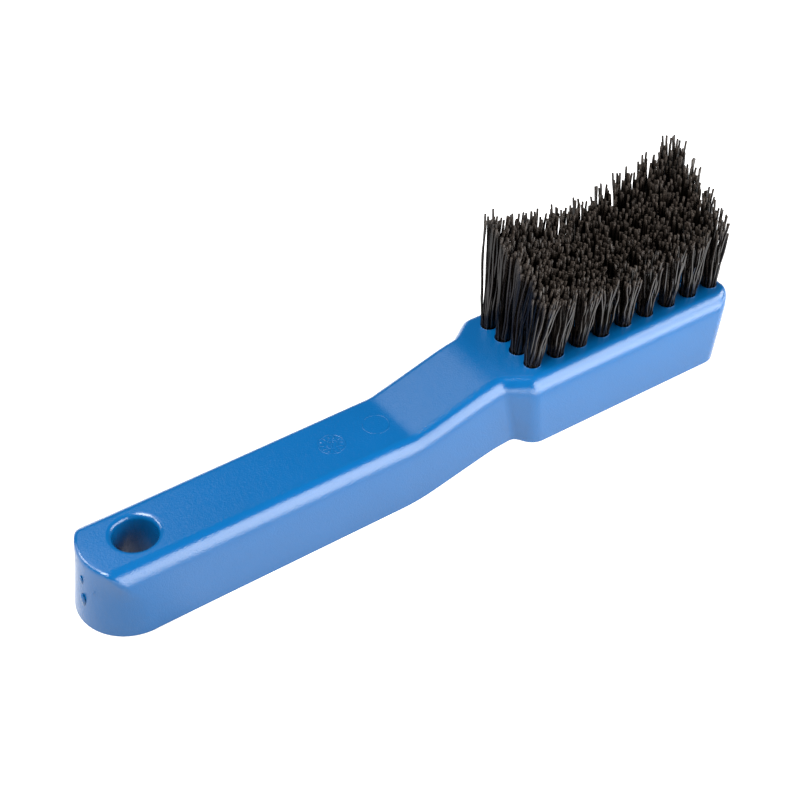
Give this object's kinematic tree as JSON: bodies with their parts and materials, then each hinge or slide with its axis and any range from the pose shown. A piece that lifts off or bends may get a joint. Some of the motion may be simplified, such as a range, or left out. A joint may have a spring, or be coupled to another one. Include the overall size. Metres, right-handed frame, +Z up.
{
  "type": "cassette cleaning brush",
  "caption": "Hand brush for cleaning cassettes: bar handle with a hanging hole, raised block head, and stiff upright bristle tufts trimmed on a slope and hollow lengthwise.",
  "frame": {"origin": "under the middle of the brush's length, on the plane that the grip's underside lies on", "axes": "+X runs from the grip's round end to the head, +Z is up, the way the bristles point, and +Y is the side where the trim is taller"},
  "size_m": [0.2186, 0.0398, 0.0716],
  "materials": {
    "blue_moulded_plastic": "satin, as moulded, with soft reflections",
    "black_bristle": "extruded filament, cut tips"
  },
  "bodies": {
    "root": {"handle": "blue_moulded_plastic", "tuft_r1_c1": "black_bristle", "tuft_r1_c2": "black_bristle", "tuft_r1_c3": "black_bristle", "tuft_r1_c4": "black_bristle", "tuft_r1_c5": "black_bristle", "tuft_r1_c6": "black_bristle", "tuft_r1_c7": "black_bristle", "tuft_r1_c8": "black_bristle", "tuft_r1_c9": "black_bristle", "tuft_r2_c1": "black_bristle", "tuft_r2_c2": "black_bristle", "tuft_r2_c3": "black_bristle", "tuft_r2_c4": "black_bristle", "tuft_r2_c5": "black_bristle", "tuft_r2_c6": "black_bristle", "tuft_r2_c7": "black_bristle", "tuft_r2_c8": "black_bristle", "tuft_r2_c9": "black_bristle", "tuft_r3_c1": "black_bristle", "tuft_r3_c2": "black_bristle", "tuft_r3_c3": "black_bristle", "tuft_r3_c4": "black_bristle", "tuft_r3_c5": "black_bristle", "tuft_r3_c6": "black_bristle", "tuft_r3_c7": "black_bristle", "tuft_r3_c8": "black_bristle", "tuft_r3_c9": "black_bristle", "tuft_r4_c1": "black_bristle", "tuft_r4_c2": "black_bristle", "tuft_r4_c3": "black_bristle", "tuft_r4_c4": "black_bristle", "tuft_r4_c5": "black_bristle", "tuft_r4_c6": "black_bristle", "tuft_r4_c7": "black_bristle", "tuft_r4_c8": "black_bristle", "tuft_r4_c9": "black_bristle"}
  },
  "joints": []
}
